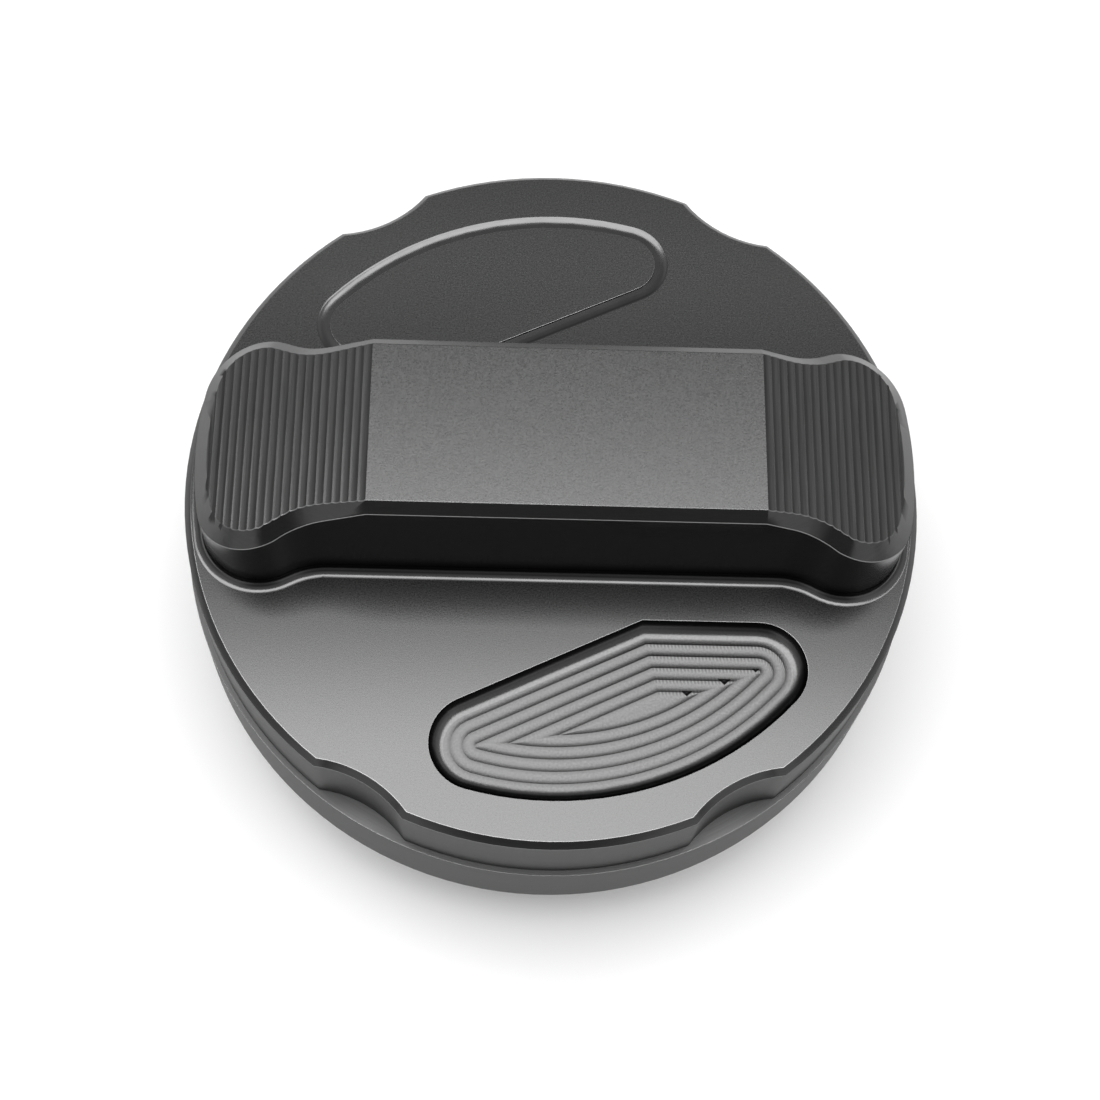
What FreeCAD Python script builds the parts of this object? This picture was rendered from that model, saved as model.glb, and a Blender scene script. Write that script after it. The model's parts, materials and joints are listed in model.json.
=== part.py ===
import FreeCAD, Part
import math
import os

# Screw-in fuel cap: a machined aluminium cover turns, through a ratchet, a moulded closure with a neck,
# a seal and a pair of relief valves. Millimetres, +Z up, origin at the centre of the neck's bottom face.

# Cover: turned disc with a deck, a stepped rim and a hollow underside
neck_drop = 13.9          # neck below the cover's bottom edge
flange_height = 10.0      # side of the lower rim
wall_height = 10.3        # lower rim's ledge to the deck
flange_radius = 43.4
wall_radius = 42.75
rim_chamfer = 0.75        # deck edge
edge_break = 0.25         # small chamfers on turned corners
deck_thickness = 5.0
cavity_radius = 38.0

# Finger scallops in the rim
scallop_count = 4
scallop_angle = 60.0      # from the grip's line to each scallop
scallop_radius = 14.2
scallop_depth = 1.6       # from the wall to the middle of the scallop

# Grip bar across the deck
grip_height = 17.1
grip_half_width = 10.6
grip_end_radius = 40.6    # round ends, concentric with the rim
bulb_radius = 6.5         # corners of the wider ends
bulb_offset = 6.2         # bulb centres from the grip's middle line
flare_length = 8.03       # from where the sides begin to widen to the bulb centres, along the grip
grip_fillet = 1.2         # foot of the grip
slope_angle = 21.5        # ends fall away from the flat middle
slope_lead_left = 4.8     # from where an end begins to fall away to where the sides begin to widen
slope_lead_right = 3.0
flute_pitch = 1.0         # along the slope
flute_depth = 0.07
grip_chamfer_middle = 1.2
grip_chamfer_end = 1.65
chamfer_growth = 7.0      # length over which the chamfer widens
facet_start = 0.79        # share of the flare where the chamfer's facet begins
facet_end = 0.13          # share of the bulb where it ends
outline_step = 1.6        # spacing of the points that guide the chamfer
chamfer_overrun = 0.7     # share of the chamfer by which its cutter runs past both edges

# Finger pockets in the deck: one milled right out, its twin across the grip only outlined
pocket_rim_radius = 37.4  # outer side, concentric with the rim
pocket_end_radius = 5.5
pocket_inner = 16.05      # straight inner side from the grip's middle line
pocket_slant = 25.4       # slanted inner side, degrees from the grip's line
pocket_corner = 10.3      # where the two inner sides meet, along the grip
pocket_depth = 1.7
pocket_floor_fillet = 1.6
groove_radius = 2.0       # rounded outer side of the outlined twin
groove_rise = 1.03        # width of that side
groove_width = 1.6        # from the twin's outline to the island inside it
twin_inset = 0.1          # the twin is a little smaller
twin_shift = (0.3, -0.55)  # and does not lie quite opposite

# Closure: moulded neck with a coarse thread, a head and a toothed rim
neck_radius = 18.6        # core of the thread
neck_bore = 14.5
neck_lead = 0.8           # chamfer at the neck's mouth
pilot_radius = 18.1       # plain neck below the thread
pilot_length = 4.5
thread_height = 2.0
thread_pitch = 5.0
thread_turns = 2.2
thread_root_width = 2.6
thread_crest_width = 1.2
head_radius = 27.0
tooth_count = 24
tooth_root_radius = 29.2
tooth_height = 1.6
tooth_rim_height = 3.0
head_gap = 0.35           # head to the plate below the toothed rim, all round
vent_radius = 9.0         # passage above the valve housing
vent_roof = 5.2           # solid head above the valve bore

# Seal under the head
seal_width = 6.5
seal_thickness = 2.5

# Ratchet ring, keeper plate, screws and slip washer
ring_width = 3.4
ring_clearance = 0.4      # to the cover's wall
lug_length = 12.0         # degrees
lug_width = 6.1
pawl_angles = (75.0, 135.0, 255.0, 315.0)
pawl_length = 36.0        # degrees
pawl_thickness = 1.1
pawl_clearance = 0.18
pawl_gap = 0.7            # springing room outside a pawl
pawl_foot = 5.0           # degrees, root that joins a pawl to the ring
pawl_nose = 5.0           # degrees, catch at a pawl's free end
pawl_lift = 0.55          # rise of the catch's back over its edge
plate_thickness = 1.2
screw_angles = (14.0, 166.0, 194.0, 346.0)
screw_circle = 34.4
screw_radius = 1.45
screw_head_radius = 2.8
screw_head_height = 1.8
screw_grip = 5.0          # length in the cover
screw_socket = 1.25       # across half flats
screw_socket_depth = 1.1
screw_hole_spare = 1.0    # blind hole above a screw's end
thread_clearance = 0.05
hole_clearance = 0.15
washer_thickness = 0.8
washer_bore = 13.0
seat_gap = 0.05           # between clamped or resting faces
cut_run = 1.0             # by which a cutter runs past the face that it opens

# Valve housing in the neck
housing_wall = 2.05
housing_floor = 2.0
housing_fit = 0.05
inlet_radius = 7.5
seat_lip_width = 0.8
seat_lip_height = 0.5
seat_lip_radius = 8.2
oring_section = 0.58
oring_height = 11.0       # above the housing's bottom
oring_groove_margin = 0.4
snap_ring_thickness = 0.8
snap_ring_width = 1.6
snap_groove_margin = 0.1
snap_gap = 22.0           # degrees, open part of a snap ring

# Pressure valve
plate_radius = 11.2
plate_height = 1.2
plate_rim_radius = 7.0
plate_rim_width = 0.8
plate_rim_height = 1.0
air_hole_count = 4
air_hole_radius = 0.9
air_hole_circle = 3.2
rubber_thickness = 1.0
rubber_inner = 5.6
rubber_outer = 10.2
pressure_coil_radius = 8.6
pressure_wire = 0.55
pressure_coils = 5.0
pressure_spring_length = 11.4
cover_disc_height = 1.2
cover_disc_vents = 6
cover_disc_vent_radius = 1.5
cover_disc_vent_circle = 6.0
cover_disc_bore = 3.6

# Vacuum valve in the middle of the pressure plate
stem_radius = 1.3
stem_fit = 0.05
poppet_radius = 4.6
poppet_height = 0.9
poppet_rubber_outer = 4.9
stem_end = 1.2            # stem above the clip
clip_radius = 3.3
clip_thickness = 0.5
clip_groove = 0.3
clip_fit = 0.05
vacuum_coil_radius = 2.5
vacuum_wire = 0.3
vacuum_coils = 5.0
vacuum_spring_length = 5.8

# Inlet screen at the neck's mouth
screen_thickness = 0.4
screen_hole_radius = 0.7
screen_hole_pitch = 2.4
screen_border = 2.4       # plain edge

# Heights that follow
z_flange = neck_drop
z_ledge = z_flange + flange_height
z_deck = z_ledge + wall_height
z_grip = z_deck + grip_height
z_roof = z_deck - deck_thickness
deck_radius = wall_radius - rim_chamfer

z_head_top = z_roof - seat_gap - washer_thickness - seat_gap
z_tooth_bottom = z_head_top - tooth_rim_height
z_plate_top = z_tooth_bottom - head_gap
z_plate_bottom = z_plate_top - plate_thickness
z_head_bottom = z_plate_bottom - screw_head_height
z_seal_top = z_head_bottom - seat_gap
z_seal_bottom = z_seal_top - seal_thickness
z_bore_top = z_head_top - vent_roof

z_snap_bottom = neck_lead + snap_groove_margin
z_screen_bottom = z_snap_bottom + snap_ring_thickness + seat_gap
z_housing = z_screen_bottom + screen_thickness + seat_gap
z_floor = z_housing + housing_floor
z_lip = z_floor + seat_lip_height
z_rubber = z_lip + seat_gap
z_plate = z_rubber + rubber_thickness + seat_gap
z_plate_upper = z_plate + plate_height
z_spring = z_plate_upper + seat_gap
z_spring_top = z_spring + pressure_spring_length
z_disc = z_spring_top + seat_gap
z_disc_top = z_disc + cover_disc_height
z_seat_ring = z_disc_top + seat_gap
z_poppet_top = z_plate - seat_gap - rubber_thickness - seat_gap
z_poppet = z_poppet_top - poppet_height
z_vacuum_top = z_spring + vacuum_spring_length
z_clip = z_vacuum_top + seat_gap
z_stem_top = z_clip + clip_thickness + stem_end

housing_radius = neck_bore - housing_fit
housing_bore = housing_radius - housing_wall
z_housing_top = z_bore_top - seat_gap
tooth_tip_radius = tooth_root_radius + tooth_height
ring_outer = cavity_radius - ring_clearance
ring_inner = ring_outer - ring_width

UP = FreeCAD.Vector(0, 0, 1)
CENTRE = FreeCAD.Vector(0, 0, 0)


def point(x, y, z=0.0):
    return FreeCAD.Vector(x, y, z)


def polar(radius, degrees, z=0.0):
    angle = math.radians(degrees)
    return FreeCAD.Vector(radius * math.cos(angle), radius * math.sin(angle), z)


def turned(profile):
    """Solid of revolution from (radius, height) corners."""
    wire = Part.makePolygon([point(r, 0, z) for r, z in profile + profile[:1]])
    return Part.Face(wire).revolve(CENTRE, UP, 360)


def tube(outer, inner, z0, z1):
    return turned([(inner, z0), (outer, z0), (outer, z1), (inner, z1)])


def rod(radius, z0, z1, centre=(0.0, 0.0)):
    return Part.makeCylinder(radius, z1 - z0, point(centre[0], centre[1], z0))


def prism(corners, z0, z1):
    """Upright prism on a closed outline of points."""
    wire = Part.makePolygon([point(p.x, p.y, z0) for p in corners + corners[:1]])
    return Part.Face(wire).extrude(point(0, 0, z1 - z0))


def sector(outer, inner, start, end, z0, z1):
    """Part of a ring between two angles in degrees."""
    ring = tube(outer, inner, z0, z1)
    reach = 2 * outer
    middle = (start + end) / 2
    wedge = prism([CENTRE, polar(reach, start), polar(reach, middle), polar(reach, end)], z0, z1)
    return ring.common(wedge)


def on_circle(circle, count, start=0.0):
    return [polar(circle, start + 360.0 * i / count) for i in range(count)]


def coil(radius, wire, turns, z0, z1):
    """Compression spring with its wire's axis half a wire inside both ends."""
    height = z1 - z0 - 2 * wire
    path = Part.Wire(Part.makeHelix(height / turns, height, radius))
    ring = Part.Wire(Part.makeCircle(wire, point(radius, 0, 0), point(0, 1, 0)))
    spring = path.makePipeShell([ring], True, True)
    spring.translate(point(0, 0, z0 + wire))
    return spring


def snap_ring(outer, width, z0, z1):
    """Flat open ring."""
    return sector(outer, outer - width, snap_gap / 2, 180, z0, z1).fuse(
        sector(outer, outer - width, 180, 360 - snap_gap / 2, z0, z1)).removeSplitter()


def save(shape, name):
    shape.exportStep("parts/" + name + ".step")


# Grip outline: straight sides, hollow flares, round bulbs and ends concentric with the rim
bulb_reach = math.sqrt((grip_end_radius - bulb_radius) ** 2 - bulb_offset ** 2)
flare_start = bulb_reach - flare_length
slope_start_left = flare_start - slope_lead_left
slope_start_right = flare_start - slope_lead_right
flare_rise = grip_half_width - bulb_offset
flare_radius = (flare_length ** 2 + flare_rise ** 2 - bulb_radius ** 2) / (2 * (bulb_radius - flare_rise))
flare_centre = point(flare_start, grip_half_width + flare_radius)
bulb_centre = point(bulb_reach, bulb_offset)
flare_to_bulb = flare_centre + (bulb_centre - flare_centre) * (flare_radius / (flare_radius + bulb_radius))
bulb_to_end = bulb_centre * (grip_end_radius / bulb_centre.Length)


def angle_about(p, centre):
    return math.atan2(p.y - centre.y, p.x - centre.x)


def quarter_arcs():
    """Arcs of the grip's front quarter as (centre, radius, start angle, end angle, outward sign)."""
    flare_end = angle_about(flare_to_bulb, flare_centre)
    bulb_start = angle_about(flare_to_bulb, bulb_centre)
    bulb_end = angle_about(bulb_to_end, bulb_centre)
    return [
        (flare_centre, flare_radius, -math.pi / 2, flare_end, -1),
        (bulb_centre, bulb_radius, bulb_start, bulb_end, 1),
        (CENTRE, grip_end_radius, angle_about(bulb_to_end, CENTRE), 0.0, 1),
    ]


def at(centre, radius, angle):
    return point(centre.x + radius * math.cos(angle), centre.y + radius * math.sin(angle))


def grip_outline(z):
    edges = []
    for sx, sy in ((1, 1), (1, -1), (-1, -1), (-1, 1)):
        for centre, radius, a0, a1, _ in quarter_arcs():
            ends = [at(centre, radius, a) for a in (a0, (a0 + a1) / 2, a1)]
            ends = [point(sx * p.x, sy * p.y, z) for p in ends]
            edges.append(Part.Arc(*ends).toShape())
    for side in (1, -1):
        edges.append(Part.makeLine(point(-flare_start, side * grip_half_width, z),
                                   point(flare_start, side * grip_half_width, z)))
    return Part.Wire(Part.__sortEdges__(edges))


def stretch(arc, share0, share1):
    """Guide points on part of an arc with their outward directions, both ends included."""
    centre, radius, a0, a1, sign = arc
    steps = max(2, round(abs(a1 - a0) * (share1 - share0) * radius / outline_step))
    guides = []
    for i in range(steps + 1):
        p = at(centre, radius, a0 + (a1 - a0) * (share0 + (share1 - share0) * i / steps))
        guides.append((p, (p - centre) * (sign / radius)))
    return guides


def mirrored(guides, sx, sy):
    return [(point(sx * p.x, sy * p.y), point(sx * n.x, sy * n.y)) for p, n in guides]


def chamfer_runs():
    """Stretches of the grip's edge that each have a chamfer face of their own."""
    flare, bulb, end = quarter_arcs()
    outwards = point(0, 1)
    front = [(point(-slope_start_left, grip_half_width), outwards),
             (point(slope_start_right, grip_half_width), outwards)]
    runs = [front, mirrored(front, 1, -1)]
    flared = stretch(flare, 0, facet_start)
    rounded = stretch(bulb, facet_end, 1) + stretch(end, 0, 1)[1:]
    for sx in (1, -1):
        start = slope_start(sx)
        steps = max(2, round((flare_start - start) / outline_step))
        straight = [(point(start + (flare_start - start) * i / steps, grip_half_width), outwards)
                    for i in range(steps)]
        for sy in (1, -1):
            runs.append(mirrored(straight + flared, sx, sy))
            runs.append(mirrored([flared[-1], rounded[0]], sx, sy))
        runs.append(mirrored(rounded, sx, 1) + mirrored(rounded, sx, -1)[-2::-1])
    return runs


def slope_start(x):
    return slope_start_right if x > 0 else slope_start_left


def grip_top(x):
    """Height of the grip's top before fluting."""
    return z_grip - max(0.0, abs(x) - slope_start(x)) * math.tan(math.radians(slope_angle))


def chamfer_size(x):
    growth = min(1.0, max(0.0, abs(x) - slope_start(x)) / chamfer_growth)
    return grip_chamfer_middle + (grip_chamfer_end - grip_chamfer_middle) * growth


def chamfer_corners(p, n):
    """Corners of the chamfer cutter's section at one guide point."""
    size = chamfer_size(p.x)
    low = point(p.x, p.y, grip_top(p.x) - size)
    inner = p - n * size
    high = point(inner.x, inner.y, grip_top(inner.x))
    over = (high - low) * chamfer_overrun
    return low - over, high + over, point(p.x + n.x, p.y + n.y, z_grip + grip_height)


def through(points):
    """Edge through points: a line or a smooth curve."""
    if len(points) == 2:
        return Part.makeLine(points[0], points[1])
    curve = Part.BSplineCurve()
    curve.interpolate(points)
    return curve.toShape()


def chamfer_cutter():
    """Ring above the chamfer that runs round the grip's top edge, with crisp joints between its faces."""
    faces = []
    for run in chamfer_runs():
        corners = [chamfer_corners(p, n) for p, n in run]
        edges = [through([section[i] for section in corners]) for i in range(3)]
        faces.extend(Part.makeRuledSurface(edges[i], edges[(i + 1) % 3]) for i in range(3))
    shell = Part.makeShell(faces)
    shell.sewShape()
    ring = Part.Solid(shell)
    return ring.reversed() if ring.Volume < 0 else ring


def slope_cutter(side):
    """Space above one fluted end of the grip: round flutes side by side down the slope."""
    start = slope_start(side)
    fall = math.radians(slope_angle)
    along = point(side * math.cos(fall), 0, -math.sin(fall))
    into = point(-side * math.sin(fall), 0, -math.cos(fall))
    width = grip_end_radius + bulb_radius
    top = point(side * start, -width, z_grip)
    flutes = math.ceil((grip_end_radius + flute_pitch - start) / (flute_pitch * math.cos(fall)))
    edges = []
    for i in range(flutes):
        ends = [top + along * (flute_pitch * (i + share)) for share in (0.0, 0.5, 1.0)]
        edges.append(Part.Arc(ends[0], ends[1] + into * flute_depth, ends[2]).toShape())
    low = top + along * (flute_pitch * flutes)
    over = [low, point(low.x, -width, z_grip + grip_height), point(top.x, -width, z_grip + grip_height), top]
    edges.extend(Part.makeLine(over[i], over[i + 1]) for i in range(3))
    return Part.Face(Part.Wire(edges)).extrude(point(0, 2 * width, 0))


def pocket_outline(inset, z):
    """Finger pocket's outline moved inwards: rim arc, two round ends, straight and slanted inner sides."""
    rim = pocket_rim_radius - inset
    end = pocket_end_radius - inset
    reach = pocket_rim_radius - pocket_end_radius
    slant = math.radians(pocket_slant)
    right = point(math.sqrt(reach ** 2 - (pocket_inner + pocket_end_radius) ** 2),
                  -pocket_inner - pocket_end_radius)
    normal = point(math.sin(slant), -math.cos(slant))
    corner = point(pocket_corner, -pocket_inner)
    offset = corner.dot(normal) + pocket_end_radius
    left = normal * offset - point(math.cos(slant), math.sin(slant)) * math.sqrt(reach ** 2 - offset ** 2)
    corner_in = point(pocket_corner + inset * math.tan(slant / 2), -pocket_inner - inset)
    right_top = point(right.x, right.y + end)
    right_rim = right * (rim / reach)
    left_rim = left * (rim / reach)
    left_top = left - normal * end
    middle = right_rim + left_rim
    rim_mid = middle * (rim / middle.Length)
    right_mid = right + (right_top + right_rim - right * 2).normalize() * end
    left_mid = left + (left_top + left_rim - left * 2).normalize() * end
    edges = [
        Part.makeLine(corner_in, right_top),
        Part.Arc(right_top, right_mid, right_rim).toShape(),
        Part.Arc(right_rim, rim_mid, left_rim).toShape(),
        Part.Arc(left_rim, left_mid, left_top).toShape(),
        Part.makeLine(left_top, corner_in),
    ]
    wire = Part.Wire(edges)
    wire.translate(point(0, 0, z))
    return wire


def make_cap_shell():
    # Grip standing on a plate, with a rounded foot
    plate = rod(2 * flange_radius, z_roof, z_deck)
    bar = Part.Face(grip_outline(z_roof)).extrude(point(0, 0, z_grip - z_roof))
    body = plate.fuse(bar).removeSplitter()
    foot = [e for e in body.Edges if abs(e.BoundBox.ZMin - z_deck) < 1e-4
            and abs(e.BoundBox.ZMax - z_deck) < 1e-4 and e.BoundBox.DiagonalLength < 3 * flange_radius]
    body = body.makeFillet(grip_fillet, foot)
    for side in (-1, 1):
        body = body.cut(slope_cutter(side))
    body = body.cut(chamfer_cutter())
    # Turned outside: ledge, wall and chamfered deck edge, open above the deck
    outside = turned([
        (0, z_flange), (flange_radius - edge_break, z_flange), (flange_radius, z_flange + edge_break),
        (flange_radius, z_ledge), (wall_radius, z_ledge),
        (wall_radius, z_deck - rim_chamfer), (deck_radius, z_deck),
        (deck_radius, z_grip + edge_break), (0, z_grip + edge_break),
    ])
    skirt = rod(2 * flange_radius, z_flange, z_roof)
    body = body.fuse(skirt).common(outside)
    # Finger scallops with the same edge chamfer
    centre_circle = wall_radius - scallop_depth + scallop_radius
    cutter = turned([
        (0, z_ledge), (scallop_radius, z_ledge), (scallop_radius, z_deck - rim_chamfer),
        (scallop_radius + rim_chamfer, z_deck), (scallop_radius + rim_chamfer, z_grip), (0, z_grip),
    ])
    for i in range(scallop_count):
        angle = scallop_angle if i % 2 == 0 else 180 - scallop_angle
        angle += 180 * (i // 2)
        body = body.cut(cutter.translated(polar(centre_circle, angle)))
    # Milled finger pocket
    pocket = Part.Face(pocket_outline(0, z_deck - pocket_depth)).extrude(point(0, 0, pocket_depth + cut_run))
    bottom = [e for e in pocket.Edges if abs(e.BoundBox.ZMax - (z_deck - pocket_depth)) < 1e-4]
    body = body.cut(pocket.makeFillet(pocket_floor_fillet, bottom))
    # Outlined twin on the other side: a channel with a rounded outer side and an upright inner one
    height = math.sqrt(groove_radius ** 2 - groove_rise ** 2)
    floor = z_deck + height - groove_radius
    path = pocket_outline(twin_inset + groove_rise, z_deck + height)
    start = path.Edges[0].valueAt(path.Edges[0].FirstParameter)
    heading = path.Edges[0].tangentAt(path.Edges[0].FirstParameter)
    ball = Part.Wire(Part.makeCircle(groove_radius, start, heading))
    inside = Part.Face(pocket_outline(twin_inset + groove_rise, floor)).extrude(point(0, 0, grip_height))
    island = Part.Face(pocket_outline(twin_inset + groove_width, floor)).extrude(point(0, 0, grip_height))
    for cutter in (path.makePipeShell([ball], True, True, 2).cut(inside), inside.cut(island)):
        cutter.rotate(CENTRE, UP, 180)
        cutter.translate(point(*twin_shift))
        body = body.cut(cutter)
    # Hollow underside and screw holes up into the grip
    body = body.cut(rod(cavity_radius, z_flange - cut_run, z_roof))
    for angle in screw_angles:
        place = polar(screw_circle, angle)
        body = body.cut(rod(screw_radius + thread_clearance, z_roof - cut_run,
                            z_roof + screw_grip + screw_hole_spare, (place.x, place.y)))
    return body.removeSplitter()


def make_drive_ring():
    z0 = z_plate_top + seat_gap
    z1 = z_roof - seat_gap
    ring = tube(ring_outer, ring_inner, z0, z1)
    for angle in screw_angles:
        lug = sector(ring_outer, ring_outer - lug_width, angle - lug_length / 2,
                     angle + lug_length / 2, z0, z1)
        ring = ring.fuse(lug)
    arm_outer = ring_inner - pawl_gap
    arm_inner = arm_outer - pawl_thickness
    for tip in pawl_angles:
        root = tip - pawl_length
        arm = sector(arm_outer, arm_inner, root, tip, z0, z_head_top)
        foot = sector(ring_outer, arm_inner, root - pawl_foot, root, z0, z_head_top)
        reach = tooth_root_radius + pawl_clearance
        back = tip - pawl_nose
        face = math.degrees(pawl_clearance / tooth_root_radius)
        nose = prism([
            polar(reach, tip - face), polar(arm_outer, tip - face), polar(arm_outer, back),
            polar(reach + pawl_lift, back),
        ], z0, z_head_top)
        ring = ring.fuse([arm, foot, nose])
    for angle in screw_angles:
        place = polar(screw_circle, angle)
        ring = ring.cut(rod(screw_radius + hole_clearance, z0 - cut_run, z1 + cut_run, (place.x, place.y)))
    return ring.removeSplitter()


def make_retaining_plate():
    plate = tube(ring_outer, head_radius + head_gap, z_plate_bottom, z_plate_top)
    for angle in screw_angles:
        place = polar(screw_circle, angle)
        plate = plate.cut(rod(screw_radius + hole_clearance, z_plate_bottom - cut_run, z_plate_top + cut_run,
                              (place.x, place.y)))
    return plate


def make_drive_screws():
    screws = []
    z1 = z_plate_bottom - seat_gap
    z0 = z1 - screw_head_height
    for angle in screw_angles:
        place = polar(screw_circle, angle)
        centre = (place.x, place.y)
        head = turned([
            (0, z0), (screw_head_radius - edge_break, z0), (screw_head_radius, z0 + edge_break),
            (screw_head_radius, z1), (0, z1),
        ]).translated(place)
        screw = head.fuse(rod(screw_radius, z1, z_roof + screw_grip, centre))
        flats = [polar(screw_socket / math.cos(math.radians(30)), 60 * i + 30) + place for i in range(6)]
        screws.append(screw.cut(prism(flats, z0 - cut_run, z0 + screw_socket_depth)).removeSplitter())
    return Part.makeCompound(screws)


def make_thrust_washer():
    z0 = z_head_top + seat_gap
    return tube(head_radius, washer_bore, z0, z0 + washer_thickness)


def make_closure_body():
    body = turned([
        (0, 0), (pilot_radius - neck_lead, 0), (pilot_radius, neck_lead), (pilot_radius, pilot_length),
        (neck_radius, pilot_length), (neck_radius, z_head_bottom), (head_radius, z_head_bottom),
        (head_radius, z_tooth_bottom), (tooth_root_radius, z_tooth_bottom), (tooth_root_radius, z_head_top),
        (0, z_head_top),
    ])
    # Saw teeth: steep on one side, a ramp on the other
    corners = []
    for i in range(tooth_count):
        angle = 360.0 * i / tooth_count
        corners.append(polar(tooth_root_radius, angle))
        corners.append(polar(tooth_tip_radius, angle))
    body = body.fuse(prism(corners, z_tooth_bottom, z_head_top))
    # Coarse thread
    height = thread_pitch * thread_turns
    helix = Part.Wire(Part.makeHelix(thread_pitch, height, neck_radius))
    sunk = neck_radius - neck_lead
    crest = neck_radius + thread_height
    section = Part.makePolygon([
        point(sunk, 0, -thread_root_width / 2), point(crest, 0, -thread_crest_width / 2),
        point(crest, 0, thread_crest_width / 2), point(sunk, 0, thread_root_width / 2),
        point(sunk, 0, -thread_root_width / 2),
    ])
    ridge = helix.makePipeShell([section], True, True)
    ridge.translate(point(0, 0, pilot_length + thread_root_width / 2))
    body = body.fuse(ridge)
    # Bore for the valve housing, vent above it and the snap ring's groove
    body = body.cut(rod(neck_bore, -cut_run, z_bore_top))
    body = body.cut(rod(vent_radius, z_bore_top - cut_run, z_head_top + cut_run))
    body = body.cut(rod(neck_bore + snap_ring_width / 2, z_snap_bottom - snap_groove_margin,
                        z_snap_bottom + snap_ring_thickness + seat_gap))
    return body.removeSplitter()


def make_main_seal():
    inner = neck_radius + seat_gap
    return tube(inner + seal_width, inner, z_seal_bottom, z_seal_top)


def make_valve_housing():
    lip = seat_lip_radius + seat_lip_width
    body = turned([
        (inlet_radius, z_housing), (housing_radius, z_housing), (housing_radius, z_housing_top),
        (housing_bore, z_housing_top), (housing_bore, z_floor), (lip, z_floor), (lip, z_lip),
        (seat_lip_radius, z_lip), (seat_lip_radius, z_floor), (inlet_radius, z_floor),
    ])
    groove = oring_section + oring_groove_margin
    middle = z_housing + oring_height
    body = body.cut(tube(housing_radius + cut_run, housing_radius - 2 * oring_section - housing_fit / 2,
                         middle - groove, middle + groove))
    body = body.cut(rod(housing_bore + snap_ring_width / 2 - housing_fit, z_seat_ring - seat_gap,
                        z_seat_ring + snap_ring_thickness + seat_gap))
    return body


def make_housing_oring():
    return Part.makeTorus(housing_radius - oring_section, oring_section,
                          point(0, 0, z_housing + oring_height))


def make_pressure_plate():
    body = turned([
        (stem_radius + stem_fit, z_plate), (plate_radius, z_plate), (plate_radius, z_plate_upper),
        (plate_rim_radius, z_plate_upper), (plate_rim_radius, z_plate_upper + plate_rim_height),
        (plate_rim_radius - plate_rim_width, z_plate_upper + plate_rim_height),
        (plate_rim_radius - plate_rim_width, z_plate_upper), (stem_radius + stem_fit, z_plate_upper),
    ])
    for place in on_circle(air_hole_circle, air_hole_count):
        body = body.cut(rod(air_hole_radius, z_plate - cut_run, z_plate_upper + cut_run,
                            (place.x, place.y)))
    return body


def make_pressure_seal():
    return tube(rubber_outer, rubber_inner, z_rubber, z_rubber + rubber_thickness)


def make_pressure_spring():
    return coil(pressure_coil_radius, pressure_wire, pressure_coils, z_spring, z_spring_top)


def make_spring_seat():
    disc = tube(housing_bore - housing_fit, cover_disc_bore, z_disc, z_disc_top)
    for place in on_circle(cover_disc_vent_circle, cover_disc_vents):
        disc = disc.cut(rod(cover_disc_vent_radius, z_disc - cut_run, z_disc_top + cut_run,
                            (place.x, place.y)))
    return disc


def make_seat_ring():
    outer = housing_bore + snap_ring_width / 2 - 2 * housing_fit
    return snap_ring(outer, snap_ring_width, z_seat_ring, z_seat_ring + snap_ring_thickness)


def make_vacuum_poppet():
    neck = stem_radius - clip_groove
    return turned([
        (0, z_poppet), (poppet_radius, z_poppet), (poppet_radius, z_poppet_top), (stem_radius, z_poppet_top),
        (stem_radius, z_clip - clip_fit), (neck, z_clip - clip_fit),
        (neck, z_clip + clip_thickness + clip_fit), (stem_radius, z_clip + clip_thickness + clip_fit),
        (stem_radius, z_stem_top), (0, z_stem_top),
    ])


def make_vacuum_seal():
    z0 = z_poppet_top + seat_gap
    return tube(poppet_rubber_outer, stem_radius + stem_fit, z0, z0 + rubber_thickness)


def make_vacuum_spring():
    return coil(vacuum_coil_radius, vacuum_wire, vacuum_coils, z_spring, z_vacuum_top)


def make_vacuum_clip():
    inner = stem_radius - clip_groove + clip_fit
    clip = tube(clip_radius, inner, z_clip, z_clip + clip_thickness)
    reach = 2 * clip_radius
    slot = prism([point(0, -inner), point(reach, -inner), point(reach, inner), point(0, inner)],
                 z_clip - cut_run, z_clip + clip_thickness + cut_run)
    return clip.cut(slot)


def make_inlet_screen():
    radius = neck_bore - housing_fit
    disc = rod(radius, z_screen_bottom, z_screen_bottom + screen_thickness)
    rows = math.floor((radius - screen_border) / screen_hole_pitch)
    holes = []
    for row in range(-rows, rows + 1):
        for column in range(-rows, rows + 1):
            x = column * screen_hole_pitch
            y = row * screen_hole_pitch
            if math.hypot(x, y) <= radius - screen_border:
                holes.append(rod(screen_hole_radius, z_screen_bottom - cut_run,
                                 z_screen_bottom + screen_thickness + cut_run, (x, y)))
    return disc.cut(holes)


def make_screen_ring():
    outer = neck_bore + snap_ring_width / 2 - housing_fit
    return snap_ring(outer, snap_ring_width, z_snap_bottom, z_snap_bottom + snap_ring_thickness)


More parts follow.
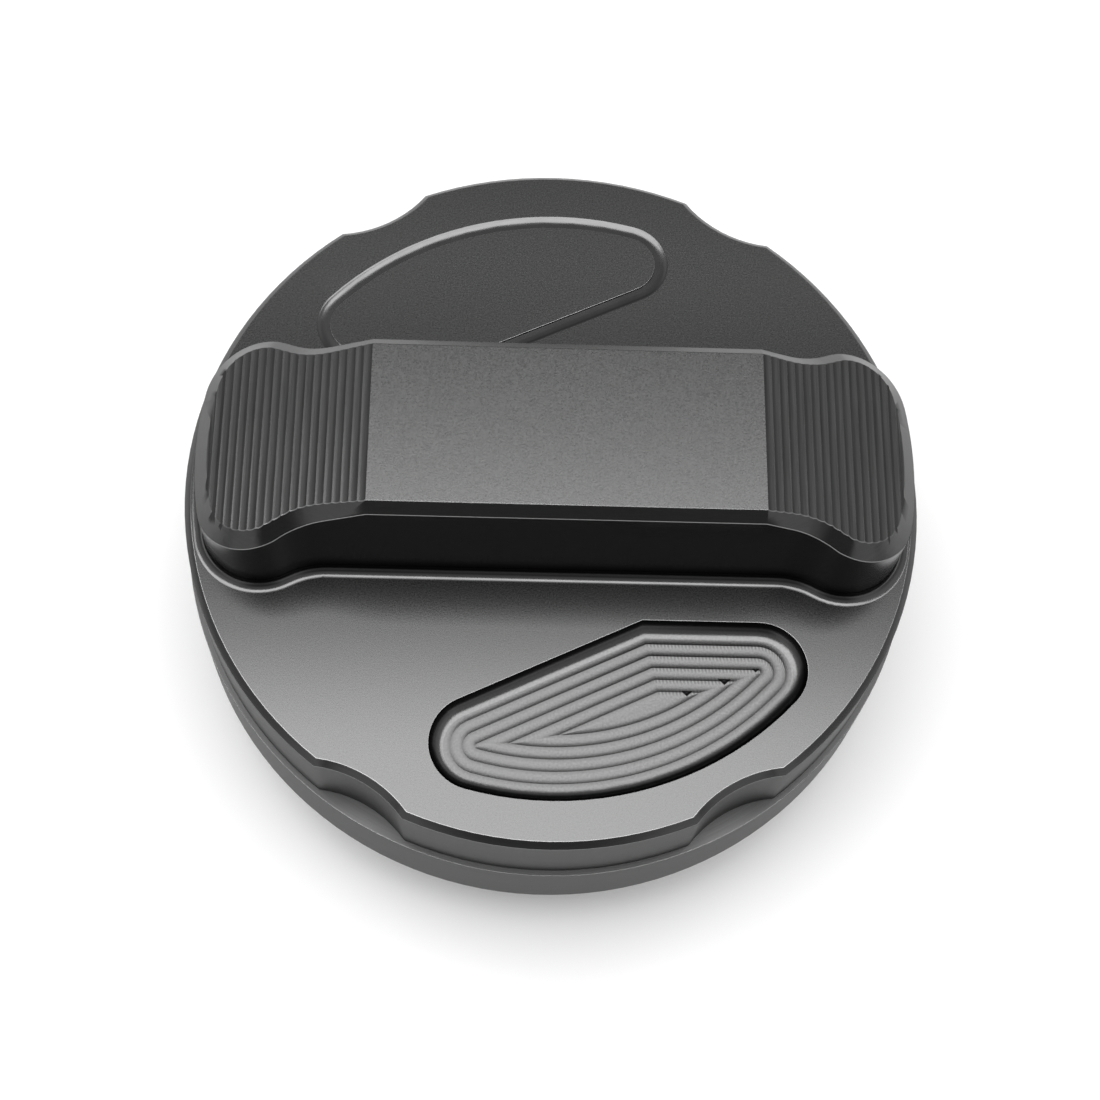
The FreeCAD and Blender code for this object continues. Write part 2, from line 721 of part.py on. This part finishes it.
os.makedirs("parts", exist_ok=True)
save(make_cap_shell(), "cap_shell")
save(make_drive_ring(), "drive_ring")
save(make_retaining_plate(), "retaining_plate")
save(make_drive_screws(), "drive_screws")
save(make_thrust_washer(), "thrust_washer")
save(make_closure_body(), "closure_body")
save(make_main_seal(), "main_seal")
save(make_valve_housing(), "valve_housing")
save(make_housing_oring(), "housing_oring")
save(make_pressure_plate(), "pressure_plate")
save(make_pressure_seal(), "pressure_seal")
save(make_pressure_spring(), "pressure_spring")
save(make_spring_seat(), "spring_seat")
save(make_seat_ring(), "seat_ring")
save(make_vacuum_poppet(), "vacuum_poppet")
save(make_vacuum_seal(), "vacuum_seal")
save(make_vacuum_spring(), "vacuum_spring")
save(make_vacuum_clip(), "vacuum_clip")
save(make_inlet_screen(), "inlet_screen")
save(make_screen_ring(), "screen_ring")
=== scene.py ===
import bmesh
import bpy
import json
import math
from mathutils import Matrix, Vector


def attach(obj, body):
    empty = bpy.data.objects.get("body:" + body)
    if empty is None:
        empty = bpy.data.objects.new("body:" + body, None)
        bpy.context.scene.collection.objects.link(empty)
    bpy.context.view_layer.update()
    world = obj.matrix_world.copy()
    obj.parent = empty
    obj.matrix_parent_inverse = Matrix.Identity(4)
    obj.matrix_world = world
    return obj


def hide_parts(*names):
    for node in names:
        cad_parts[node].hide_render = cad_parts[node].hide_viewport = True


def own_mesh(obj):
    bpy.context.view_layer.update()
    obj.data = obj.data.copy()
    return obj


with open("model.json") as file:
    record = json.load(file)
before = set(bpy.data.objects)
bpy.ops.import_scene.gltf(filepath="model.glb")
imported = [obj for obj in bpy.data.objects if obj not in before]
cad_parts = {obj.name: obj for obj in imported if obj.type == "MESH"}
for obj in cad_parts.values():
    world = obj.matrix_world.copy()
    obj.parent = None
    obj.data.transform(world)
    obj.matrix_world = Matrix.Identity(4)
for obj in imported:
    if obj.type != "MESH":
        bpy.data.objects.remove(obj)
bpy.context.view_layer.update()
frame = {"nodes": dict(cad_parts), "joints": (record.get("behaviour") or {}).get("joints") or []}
nodes = frame["nodes"]

# Cover: one piece of aluminium, turned and milled, blasted and dark anodised. It carries the grip bar, the
# four finger scallops, the milled finger pocket and its outlined twin. The keeper screws hold it from below.
mm = 0.001
deck = frame["joints"][0]["pos_m"][2]
edge_break = 0.055 * mm
sharp_angle = math.radians(33)
ridge_angle = math.radians(12)
flat_angle = math.radians(0.3)
same_place = 0.0002 * mm
same_level = 0.03 * mm
level_normal = 0.999
steep_normal = 0.3
across_normal = 0.05
upward_normal = 0.75
rim_inside = 40.2 * mm
grip_foot = deck + 1 * mm
grip_half_width = 10.6 * mm
flutes_from = 20.6 * mm
shade_reach = 34 * mm
bore_radius = 38.1 * mm
bore_top = deck - 4.9 * mm

pocket_rim_radius = 37.4 * mm
pocket_end_radius = 5.5 * mm
pocket_inner = 16.05 * mm
pocket_slant = math.radians(25.4)
pocket_corner = 10.3 * mm
pocket_floor = deck - 1.7 * mm
pocket_fillet = 1.6 * mm
slant_side = Vector((math.sin(pocket_slant), -math.cos(pocket_slant)))
slant_run = Vector((math.cos(pocket_slant), math.sin(pocket_slant)))
slant_distance = slant_side.dot(Vector((pocket_corner, -pocket_inner)))
pocket_middle = (pocket_rim_radius - slant_distance) / 2

first_ridge = 2.33 * mm
flute_pitch = 1.42 * mm
ridge_height = 0.045 * mm
ridge_reach = 0.34
ridge_count = 5
flute_steps = (0.05, 0.16, 0.32, 0.5, 0.68, 0.84, 0.95, 1.0)
wall_flute_steps = 5
ring_points = (20, 10, 60, 10, 46)
floor_gap = 0.1 * mm
ring_merge = 0.005 * mm

cusps = ((23.3, -21.2, 0.5), (19.7, -22.6, 0.85), (15.4, -24.1, 0.75))
cusp_narrowing = 0.5
cusp_height = 0.24 * mm

blasted_face, turned_face, milled_face, fluted_face, floor_face, wear_and_highlight_face, uncut_face, side_face = range(8)


def between(a, b, share):
    return a + (b - a) * share


def heading(p):
    return math.atan2(p.y, p.x)


def on_arc(centre, radius, start, end, share):
    angle = between(start, end, share)
    return centre + Vector((math.cos(angle), math.sin(angle))) * radius


def pocket_place(share, inset):
    """Point of the pocket's outline moved inwards: whole numbers of share are its five stretches."""
    past_ends = max(inset, pocket_end_radius)
    reach = pocket_rim_radius - past_ends
    end_radius = past_ends - inset
    level = pocket_inner + past_ends
    offset = slant_distance + past_ends
    right = Vector((math.sqrt(max(0.0, reach ** 2 - level ** 2)), -level))
    left = slant_side * offset - slant_run * math.sqrt(max(0.0, reach ** 2 - offset ** 2))
    corner = Vector((pocket_corner + inset * math.tan(pocket_slant / 2), -pocket_inner - inset))
    right_top = right + Vector((0, end_radius))
    left_top = left - slant_side * end_radius
    stretch = int(share)
    along = share - stretch
    if stretch == 0:
        return between(corner, right_top, along)
    if stretch == 1:
        return on_arc(right, end_radius, math.pi / 2, heading(right), along)
    if stretch == 2:
        return on_arc(Vector((0, 0)), reach + end_radius, heading(right), heading(left), along)
    if stretch == 3:
        return on_arc(left, end_radius, heading(left), heading(-slant_side) - 2 * math.pi, along)
    return between(left_top, corner, along)


def flute_height(inset):
    """Height of the milled floor over its deepest line."""
    if inset < first_ridge:
        return ridge_height * ((inset - pocket_fillet) / (first_ridge - pocket_fillet)) ** 2
    across = ((inset - first_ridge) / flute_pitch) % 1.0
    return ridge_height * (2 * across - 1) ** 2


def flute_insets():
    """Distances from the outline at which the milled floor has a ring of points."""
    insets = [between(pocket_fillet + floor_gap, first_ridge, i / wall_flute_steps)
              for i in range(wall_flute_steps + 1)]
    for i in range(ridge_count):
        insets.extend(first_ridge + flute_pitch * (i + step) for step in flute_steps)
    return [inset for inset in insets if inset < pocket_middle - floor_gap]


def across_grip(face):
    """True for a top face that runs straight across the grip, as the flutes do."""
    return abs(face.normal.y) < across_normal and face.normal.z > upward_normal


def cover_finish(face):
    """Number of the finish that a cutter left on one face: see cover_finishes."""
    middle = face.calc_center_median()
    radius = math.hypot(middle.x, middle.y)
    below_deck = middle.z < deck - same_level
    if below_deck and radius > rim_inside:
        return turned_face if abs(face.normal.z) < steep_normal else milled_face
    if middle.z < bore_top and radius < bore_radius:
        return turned_face
    if middle.z > grip_foot and abs(middle.x) > flutes_from and across_grip(face):
        return fluted_face
    if face.normal.z > level_normal and middle.z > deck - same_level:
        return blasted_face
    if below_deck and middle.z > pocket_floor and middle.y < -pocket_inner and radius < pocket_rim_radius:
        return side_face
    return milled_face


def is_flat_floor(face):
    """True for the plain floor of the pocket, which the milled one takes the place of."""
    middle = face.calc_center_median()
    level = face.normal.z > level_normal and abs(middle.z - pocket_floor) < same_place
    return level and middle.y < -pocket_inner


def beside_wear_and_highlight_edge(edge):
    """True where an edge strip of wear and painted highlight meets another finish at the fluted ends: each
    then shades by itself.
    """
    kinds = {face.material_index for face in edge.link_faces}
    at_ends = all(vert.co.z > grip_foot and abs(vert.co.x) > flutes_from for vert in edge.verts)
    return wear_and_highlight_face in kinds and len(kinds) > 1 and at_ends


def add_pocket_floor(shape, hole):
    """Milled floor in rings that follow the pocket's outline, joined to the fillet around it."""
    share_of = shape.verts.layers.float.new("share")
    ridge_of = shape.verts.layers.float.new("ridge")
    along_of = shape.verts.layers.float.new("along")
    ring = bmesh.ops.create_circle(shape, segments=sum(ring_points), radius=pocket_middle)["verts"]
    shares = [k + i / count for k, count in enumerate(ring_points) for i in range(count)]
    for vert, share in zip(ring, shares):
        vert[share_of] = share
    edges = list({edge for vert in ring for edge in vert.link_edges})
    first = edges
    floor = []
    for inset in flute_insets():
        if inset > pocket_fillet + floor_gap:
            made = bmesh.ops.extrude_edge_only(shape, edges=edges)["geom"]
            ring = [part for part in made if isinstance(part, bmesh.types.BMVert)]
            edges = [part for part in made if isinstance(part, bmesh.types.BMEdge)
                     and all(vert in ring for vert in part.verts)]
        to_ridge = abs(((inset - first_ridge) / flute_pitch + 0.5) % 1.0 - 0.5)
        length = 0.0
        last = None
        for vert in sorted(ring, key=lambda v: v[share_of]):
            place = pocket_place(vert[share_of], inset)
            vert.co = (place.x, place.y, pocket_floor + flute_height(inset))
            length += (vert.co - last).length if last else 0.0
            last = vert.co
            vert[ridge_of] = max(0.0, 1 - to_ridge / ridge_reach)
            vert[along_of] = length
        floor.extend(ring)
    bmesh.ops.bridge_loops(shape, edges=hole + first)
    bmesh.ops.pointmerge(shape, verts=ring, merge_co=sum((v.co for v in ring), Vector()) / len(ring))
    bmesh.ops.remove_doubles(shape, verts=[v for v in floor if v.is_valid], dist=ring_merge)
    shape.verts.layers.float.remove(share_of)


def finish_new_faces(shape, known, finish):
    """Give a finish to each face that isn't known yet."""
    for face in shape.faces:
        if face not in known:
            face.material_index = finish


def new_piece(name, shape):
    """Object from a finished shape, smooth except at its sharp edges."""
    mesh = bpy.data.meshes.new(name)
    shape.to_mesh(mesh)
    shape.free()
    for face in mesh.polygons:
        face.use_smooth = True
    piece = bpy.data.objects.new(name, mesh)
    bpy.context.scene.collection.objects.link(piece)
    return piece


cover = bmesh.new()
cover.from_mesh(nodes["cap_shell"].data)
bmesh.ops.remove_doubles(cover, verts=cover.verts, dist=same_place)
bmesh.ops.dissolve_limit(cover, angle_limit=flat_angle, verts=cover.verts, edges=cover.edges,
                         delimit={"NORMAL"})
for face in cover.faces:
    face.material_index = cover_finish(face)
bmesh.ops.delete(cover, geom=[face for face in cover.faces if is_flat_floor(face)], context="FACES")
crisp = [edge for edge in cover.edges
         if edge.is_manifold and edge.is_convex and edge.calc_face_angle(0) > sharp_angle
         and not all(across_grip(face) for face in edge.link_faces)]
broken = bmesh.ops.bevel(cover, geom=crisp, offset=edge_break, offset_type="OFFSET", affect="EDGES",
                         segments=1, profile=0.5, material=-1, clamp_overlap=False)
for face in broken["faces"]:
    face.material_index = wear_and_highlight_face
cut_faces = set(cover.faces)
add_pocket_floor(cover, [edge for edge in cover.edges if edge.is_boundary])
finish_new_faces(cover, cut_faces, floor_face)
cut_faces = set(cover.faces)
for x, y, size in cusps:
    place = Matrix.Translation((x * mm, y * mm, pocket_floor)) @ Matrix.Rotation(math.pi, 4, "Z")
    shape = Matrix.Diagonal((size * mm, size * cusp_narrowing * mm, 1, 1))
    bmesh.ops.create_cone(cover, segments=3, radius1=1, radius2=1, depth=cusp_height, cap_ends=True,
                          matrix=place @ shape)
finish_new_faces(cover, cut_faces, uncut_face)
bmesh.ops.recalc_face_normals(cover, faces=cover.faces)
for edge in cover.edges:
    angle = edge.calc_face_angle(0)
    fluting = all(across_grip(face) or face.material_index == floor_face for face in edge.link_faces)
    ridge = fluting and edge.is_convex and angle > ridge_angle
    hollow = angle > sharp_angle and not edge.is_convex
    if ridge or hollow or beside_wear_and_highlight_edge(edge):
        edge.smooth = False
cap_cover = new_piece("cap_cover", cover)
even = cap_cover.modifiers.new("even", "WEIGHTED_NORMAL")
even.mode = "FACE_AREA"
even.weight = 50
even.keep_sharp = True


def add(tree, kind, **settings):
    """New node with the values of its named sockets."""
    made = tree.nodes.new("ShaderNode" + kind)
    for name, value in settings.items():
        made.inputs[name.replace("_", " ")].default_value = value
    return made


def calculate(tree, operation, first, second=0.0):
    """Result of a sum: each side is a socket or a number."""
    made = tree.nodes.new("ShaderNodeMath")
    made.operation = operation
    for socket, value in zip(made.inputs, (first, second)):
        if isinstance(value, (int, float)):
            socket.default_value = value
        else:
            tree.links.new(value, socket)
    return made.outputs["Value"]


def ramp(tree, value, start, end, low, high):
    """Number that goes from low to high as a value goes from start to end."""
    made = add(tree, "MapRange", From_Min=start, From_Max=end, To_Min=low, To_Max=high)
    tree.links.new(value, made.inputs["Value"])
    return made.outputs[0]


def split_place(tree, output):
    """Three numbers of a texture place."""
    place = add(tree, "TexCoord")
    parts = add(tree, "SeparateXYZ")
    tree.links.new(place.outputs[output], parts.inputs[0])
    return parts.outputs


noise_detail = 3.0
noise_roughness = 0.62


def new_pattern(name, inputs):
    """Empty node group with named number inputs, and a tone and a height as its outputs."""
    group = bpy.data.node_groups.new(name, "ShaderNodeTree")
    for title, value in inputs:
        socket = group.interface.new_socket(title, in_out="INPUT", socket_type="NodeSocketFloat")
        socket.default_value = value
    for title in ("Tone", "Height"):
        group.interface.new_socket(title, in_out="OUTPUT", socket_type="NodeSocketFloat")
    return group, group.nodes.new("NodeGroupInput"), group.nodes.new("NodeGroupOutput")


def finish_pattern(group, given, result, place):
    """Noise at a place, spread about one as the tone, and as it is for the height."""
    noise = add(group, "TexNoise", Scale=1.0, Detail=noise_detail, Roughness=noise_roughness)
    group.links.new(place, noise.inputs["Vector"])
    spread = calculate(group, "MULTIPLY", calculate(group, "SUBTRACT", noise.outputs["Fac"], 0.5),
                       given.outputs["Contrast"])
    group.links.new(calculate(group, "ADD", spread, 1.0), result.inputs["Tone"])
    group.links.new(noise.outputs["Fac"], result.inputs["Height"])


def make_grain():
    """Grain in three directions, each with its own number of grains in a millimetre."""
    group, given, result = new_pattern("grain", (("X", 5.0), ("Y", 5.0), ("Z", 5.0), ("Contrast", 0.5)))
    place = add(group, "TexCoord")
    size = add(group, "CombineXYZ")
    for axis in "XYZ":
        group.links.new(calculate(group, "DIVIDE", given.outputs[axis], mm), size.inputs[axis])
    grains = group.nodes.new("ShaderNodeVectorMath")
    grains.operation = "MULTIPLY"
    group.links.new(place.outputs["Object"], grains.inputs[0])
    group.links.new(size.outputs[0], grains.inputs[1])
    finish_pattern(group, given, result, grains.outputs[0])
    return group


def make_turning():
    """Fine rings round the upright axis, as a lathe leaves them."""
    group, given, result = new_pattern("turning", (("Rings", 8.0), ("Breaks", 3.0), ("Contrast", 0.5)))
    x, y, z = split_place(group, "Object")
    squares = calculate(group, "ADD", calculate(group, "MULTIPLY", x, x), calculate(group, "MULTIPLY", y, y))
    radius = calculate(group, "SQRT", squares)
    angle = calculate(group, "ARCTAN2", y, x)
    rings = calculate(group, "DIVIDE", given.outputs["Rings"], mm)
    around = add(group, "CombineXYZ")
    group.links.new(calculate(group, "MULTIPLY", radius, rings), around.inputs["X"])
    group.links.new(calculate(group, "MULTIPLY", z, rings), around.inputs["Y"])
    group.links.new(calculate(group, "MULTIPLY", angle, given.outputs["Breaks"]), around.inputs["Z"])
    finish_pattern(group, given, result, around.outputs[0])
    return group


grain = make_grain()
turning = make_turning()


def material(name, colour, pattern, values, metallic, roughness, bump, roughness_swing=0.0, edge=0.5):
    """Finish whose colour, roughness and relief follow one pattern group. The bump is in millimetres."""
    made = bpy.data.materials.new(name)
    made.use_nodes = True
    tree = made.node_tree
    shader = tree.nodes["Principled BSDF"]
    shader.inputs["Metallic"].default_value = metallic
    shader.inputs["Roughness"].default_value = roughness
    if metallic:
        shader.inputs["Specular Tint"].default_value = (edge, edge, edge, 1)
    marks = tree.nodes.new("ShaderNodeGroup")
    marks.node_tree = pattern
    for title, value in values.items():
        marks.inputs[title].default_value = value
    paint = tree.nodes.new("ShaderNodeVectorMath")
    paint.operation = "SCALE"
    paint.inputs[0].default_value = colour
    paint.name = "paint"
    tree.links.new(marks.outputs["Tone"], paint.inputs["Scale"])
    tree.links.new(paint.outputs[0], shader.inputs["Base Color"])
    if roughness_swing:
        swing = calculate(tree, "MULTIPLY", calculate(tree, "SUBTRACT", marks.outputs["Height"], 0.5),
                          roughness_swing)
        tree.links.new(calculate(tree, "ADD", swing, roughness), shader.inputs["Roughness"])
    relief = add(tree, "Bump", Strength=1.0, Distance=bump * mm)
    tree.links.new(marks.outputs["Height"], relief.inputs["Height"])
    tree.links.new(relief.outputs[0], shader.inputs["Normal"])
    return made


gunmetal = (0.092, 0.092, 0.092)
wear_and_highlight_metal = (0.24, 0.24, 0.24)
pocket_metal = (0.076, 0.076, 0.076)
shadow_metal = (0.012, 0.012, 0.012)
fine_grain = {"X": 5, "Y": 5, "Z": 5, "Contrast": 0.7}
lathe_marks = {"Rings": 6, "Breaks": 3, "Contrast": 0.5}
side_mill_marks = {"X": 0.4, "Y": 0.4, "Z": 7, "Contrast": 0.4}
flute_marks = {"X": 4, "Y": 0.12, "Z": 0.5, "Contrast": 0.9}
scuffs = {"X": 3, "Y": 3, "Z": 3, "Contrast": 0.5}
pocket_grain = {"X": 4, "Y": 4, "Z": 4, "Contrast": 0.5}
blasted = material("blasted_metal", gunmetal, grain, fine_grain, metallic=1, roughness=0.28, bump=0.006,
                   roughness_swing=0.2)
turned = material("turned_metal", gunmetal, turning, lathe_marks, metallic=1, roughness=0.4, bump=0.002,
                  edge=0.62)
milled = material("milled_metal", gunmetal, grain, side_mill_marks, metallic=1, roughness=0.2, bump=0.001,
                  edge=0.8)
fluted = material("fluted_metal", gunmetal, grain, flute_marks, metallic=1, roughness=0.24, bump=0.004)
# The edge strips are lighter than the gunmetal: partly real wear through the anodising, partly painted
# highlight along the edges.
wear_and_highlight = material("worn_edges", wear_and_highlight_metal, grain, scuffs, metallic=1, roughness=0.25, bump=0.002, edge=0.1)
pocketed = material("pocketed_metal", pocket_metal, grain, pocket_grain, metallic=1, roughness=0.22,
                    bump=0.004)
# The cusps left uncut at the pocket's sharp corners are painted near black as their shadow.
shadowed_uncut = material("uncut_corners", shadow_metal, grain, pocket_grain, metallic=1, roughness=0.4, bump=0.004)
pocket_side = material("pocket_side", gunmetal, grain, pocket_grain, metallic=1, roughness=0.24, bump=0.004)


def shade_paint(tree, share):
    """Multiply the tone of a finish by a share."""
    scale = tree.nodes["paint"].inputs["Scale"]
    tone = scale.links[0].from_socket
    tree.links.new(calculate(tree, "MULTIPLY", tone, share), scale)


def read_attribute(tree, name):
    """Number that each point of the pocket's floor carries under a name."""
    made = add(tree, "Attribute")
    made.attribute_name = name
    return made.outputs["Fac"]


def paint_ridge_shade_and_ticks(finish, line_from, painted_line_shade, tick_length, tick_shade):
    """Ridges between the pocket's flutes: a thin dark line of painted shade, crossed by the fine ticks of the
    cutter.
    """
    tree = finish.node_tree
    ridge = read_attribute(tree, "ridge")
    line = ramp(tree, ridge, line_from, 1.0, 0.0, painted_line_shade)
    turns = calculate(tree, "MULTIPLY", read_attribute(tree, "along"), 2 * math.pi / tick_length)
    wave = calculate(tree, "ADD", calculate(tree, "SINE", turns), 1.0)
    ticks = calculate(tree, "MULTIPLY", wave, tick_shade / 2)
    dark = calculate(tree, "ADD", line, calculate(tree, "MULTIPLY", ticks, ridge))
    shade_paint(tree, calculate(tree, "SUBTRACT", 1.0, dark))


def paint_shade_beside_grip(finish, least):
    """Painted shade on the deck: darker close to the grip than out at the rim. The grip's own top keeps its
    tone.
    """
    tree = finish.node_tree
    place = split_place(tree, "Object")
    away = ramp(tree, calculate(tree, "ABSOLUTE", place["Y"]), grip_half_width, shade_reach, least, 1.0)
    away.node.interpolation_type = "SMOOTHSTEP"
    above = calculate(tree, "GREATER_THAN", place["Z"], grip_foot)
    shade_paint(tree, calculate(tree, "MAXIMUM", away, above))


# Painted shade: a thin dark line along each ridge. The ticks are the cutter's marks.
paint_ridge_shade_and_ticks(pocketed, line_from=0.6, painted_line_shade=0.05, tick_length=0.4 * mm, tick_shade=0.5)
# Painted shade: the deck's colour is darkened close to the grip, where the grip shades it.
paint_shade_beside_grip(blasted, least=0.48)
cover_finishes = (blasted, turned, milled, fluted, pocketed, wear_and_highlight, shadowed_uncut, pocket_side)
for finish in cover_finishes:
    cap_cover.data.materials.append(finish)
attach(cap_cover, "cover")
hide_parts("cap_shell")

# Ratchet ring and slip washer: the ring is moulded in pale acetal, sits in the cover's recess and carries the
# four sprung pawls. The washer is punched from white sheet and lies between the closure's head and the cover.
acetal_colour = (0.75, 0.74, 0.7)
sheet_white = (0.85, 0.85, 0.83)
acetal_grain = {"X": 1.5, "Y": 1.5, "Z": 1.5, "Contrast": 0.12}
sheet_rings = {"Rings": 4, "Breaks": 2, "Contrast": 0.1}
acetal = material("pale_acetal", acetal_colour, grain, acetal_grain, metallic=0, roughness=0.42, bump=0.004)
sheet_plastic = material("white_sheet", sheet_white, turning, sheet_rings, metallic=0, roughness=0.35,
                         bump=0.002)


def dress(finish, *names):
    """Give CAD pieces a finish."""
    for name in names:
        for slot in nodes[name].material_slots:
            slot.material = finish


dress(acetal, "drive_ring")
dress(sheet_plastic, "thrust_washer")

# Keeper plate and its screws: the plate is stamped from zinc plated steel strip and holds the closure's head
# in the cover. Four black oxide socket screws go up through plate and ring into the grip.
zinc = (0.55, 0.55, 0.56)
oxide_colour = (0.12, 0.12, 0.13)
strip_grain = {"X": 0.3, "Y": 7, "Z": 3, "Contrast": 0.35}
oxide_grain = {"X": 4, "Y": 4, "Z": 4, "Contrast": 0.5}
stamped = material("stamped_steel", zinc, grain, strip_grain, metallic=1, roughness=0.34, bump=0.003,
                   roughness_swing=0.15, edge=1.0)
oxide_black = material("black_oxide", oxide_colour, grain, oxide_grain, metallic=1, roughness=0.42,
                       bump=0.003)
dress(stamped, "retaining_plate")
dress(oxide_black, "drive_screws")

# Closure and valve housing: moulded in black and dark grey glass filled plastic with a spark eroded grain. The
# closure screws into the filler neck by its coarse thread, and the housing is pushed up into its neck.
closure_black = (0.03, 0.03, 0.032)
housing_grey = (0.1, 0.1, 0.11)
mould_grain = {"X": 2.5, "Y": 2.5, "Z": 2.5, "Contrast": 0.6}
moulded = material("moulded_black", closure_black, grain, mould_grain, metallic=0, roughness=0.48, bump=0.02,
                   roughness_swing=0.2)
moulded_grey = material("moulded_grey", housing_grey, grain, mould_grain, metallic=0, roughness=0.45,
                        bump=0.012, roughness_swing=0.15)
dress(moulded, "closure_body")
dress(moulded_grey, "valve_housing")

# Seals: fuel resistant black rubber, moulded and lightly dusted. The large flat one sits under the closure's
# head, the O ring round the valve housing, and two thin ones close the relief valves.
rubber_black = (0.022, 0.022, 0.022)
rubber_grain = {"X": 5, "Y": 5, "Z": 5, "Contrast": 0.8}
rubber = material("seal_rubber", rubber_black, grain, rubber_grain, metallic=0, roughness=0.72, bump=0.008)
dress(rubber, "main_seal", "housing_oring", "pressure_seal", "vacuum_seal")

# Relief valves: the pressure plate and the vacuum poppet are turned from brass bar. The plate moves in the
# housing, and the poppet's plain stem slides in the plate.
brass_colour = (0.75, 0.6, 0.3)
brass_rings = {"Rings": 7, "Breaks": 2, "Contrast": 0.3}
brass = material("turned_brass", brass_colour, turning, brass_rings, metallic=1, roughness=0.26, bump=0.002,
                 edge=1.0)
dress(brass, "pressure_plate", "vacuum_poppet")

# Springs and snap rings: drawn spring steel wire and punched spring strip. The springs close the two valves
# and ride with their bodies at full length, and the open rings snap into grooves of the neck and the stem.
steel_colour = (0.6, 0.6, 0.6)
wire_grain = {"X": 3, "Y": 3, "Z": 6, "Contrast": 0.3}
drawn = material("drawn_steel", steel_colour, grain, wire_grain, metallic=1, roughness=0.3, bump=0.002,
                 edge=1.0)
dress(drawn, "seat_ring", "vacuum_clip", "screen_ring")
springs = (
    ("pressure_spring", "closure", "pressure_lift", 2.5 * mm, 11.4 * mm, 18.45 * mm),
    ("vacuum_spring", "pressure_valve", "vacuum_drop", 1.2 * mm, 5.8 * mm, 7.05 * mm),
)
for node, body, joint, travel, length, fixed_end in springs:
    coil = bmesh.new()
    coil.from_mesh(nodes[node].data)
    bmesh.ops.remove_doubles(coil, verts=coil.verts, dist=same_place)
    bmesh.ops.recalc_face_normals(coil, faces=coil.faces)
    coil_piece = new_piece(node + "_coil", coil)
    coil_piece.data.materials.append(drawn)
    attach(coil_piece, body)
    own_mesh(coil_piece)
    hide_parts(node)

# Spring seat and inlet screen: vented and perforated discs stamped from the same plated strip as the keeper
# plate. One takes the pressure spring's thrust, the other keeps dirt out of the valves.
dress(stamped, "spring_seat", "inlet_screen")

# Studio: a white table under one large soft light in a plain room that is dimmer in front and behind than at
# the sides, with the camera where the photograph was taken from.
table_half_size = 4
table_paint = (0.88, 0.88, 0.88, 1)
table_glow = 0.12
floor_shape = bmesh.new()
bmesh.ops.create_grid(floor_shape, x_segments=1, y_segments=1, size=table_half_size)
table = new_piece("table", floor_shape)
table_white = bpy.data.materials.new("table_white")
table_white.use_nodes = True
tree = table_white.node_tree
tree.nodes.clear()
out = add(tree, "OutputMaterial")
both = add(tree, "AddShader")
paint = add(tree, "BsdfDiffuse", Color=table_paint)
glow = add(tree, "Emission")
path = add(tree, "LightPath")
mirrored = calculate(tree, "MAXIMUM", path.outputs["Is Glossy Ray"], path.outputs["Is Transmission Ray"])
seen = calculate(tree, "MAXIMUM", path.outputs["Is Camera Ray"], mirrored)
tree.links.new(calculate(tree, "MULTIPLY", seen, table_glow), glow.inputs["Strength"])
tree.links.new(paint.outputs[0], both.inputs[0])
tree.links.new(glow.outputs[0], both.inputs[1])
tree.links.new(both.outputs[0], out.inputs["Surface"])
table.data.materials.append(table_white)

softbox_radiance = 5.0
softbox = bpy.data.lights.new("softbox", "AREA")
softbox.shape = "RECTANGLE"
softbox.size = 0.5
softbox.size_y = 0.35
softbox.energy = softbox_radiance * math.pi * softbox.size * softbox.size_y
softbox_object = bpy.data.objects.new("softbox", softbox)
softbox_object.location = (-0.045, 0.02, deck + 0.5)
bpy.context.scene.collection.objects.link(softbox_object)

room_ends = 0.45
room_sides = 0.77
low_walls = 0.55
front_low = 0.68
behind_camera = 0.33
camera_direction = (0, -0.95, 0.31)
world = bpy.data.worlds.new("studio")
bpy.context.scene.world = world
world.use_nodes = True
tree = world.node_tree
backdrop = tree.nodes["Background"]
backdrop.inputs["Color"].default_value = (1, 1, 1, 1)
x, y, z = split_place(tree, "Generated")
side = ramp(tree, calculate(tree, "ABSOLUTE", x), 0.3, 0.5, room_ends, room_sides)
lift = ramp(tree, z, 0.35, 0.6, low_walls, 1.0)
low = ramp(tree, z, 0.3, 0.6, front_low, 0.0)
near = ramp(tree, y, -0.2, -0.6, 0.0, 1.0)
towards = add(tree, "TexCoord")
front = tree.nodes.new("ShaderNodeVectorMath")
front.operation = "DOT_PRODUCT"
front.inputs[1].default_value = camera_direction
tree.links.new(towards.outputs["Generated"], front.inputs[0])
camera_side = ramp(tree, front.outputs["Value"], 0.88, 0.97, 1.0, behind_camera)
walls = calculate(tree, "MAXIMUM", calculate(tree, "MULTIPLY", side, lift),
                  calculate(tree, "MULTIPLY", low, near))
room = calculate(tree, "MULTIPLY", walls, camera_side)
path = add(tree, "LightPath")
tree.links.new(calculate(tree, "MAXIMUM", room, path.outputs["Is Camera Ray"]), backdrop.inputs["Strength"])

camera = bpy.data.cameras.new("camera")
camera.sensor_width = 36
camera.lens = 66.56
camera.clip_start = 0.01
camera_object = bpy.data.objects.new("camera", camera)
camera_place = Vector((-0.00805, -0.0959, 0.251))
camera_heading = math.radians(-5.01)
camera_tilt = math.radians(22.21)
camera_roll = math.radians(6.0)
camera_object.matrix_world = (Matrix.Translation(camera_place) @ Matrix.Rotation(camera_heading, 4, "Z")
                              @ Matrix.Rotation(camera_tilt, 4, "X") @ Matrix.Rotation(camera_roll, 4, "Z"))
bpy.context.scene.collection.objects.link(camera_object)
bpy.context.scene.camera = camera_object
bpy.context.scene.view_settings.view_transform = "Standard"
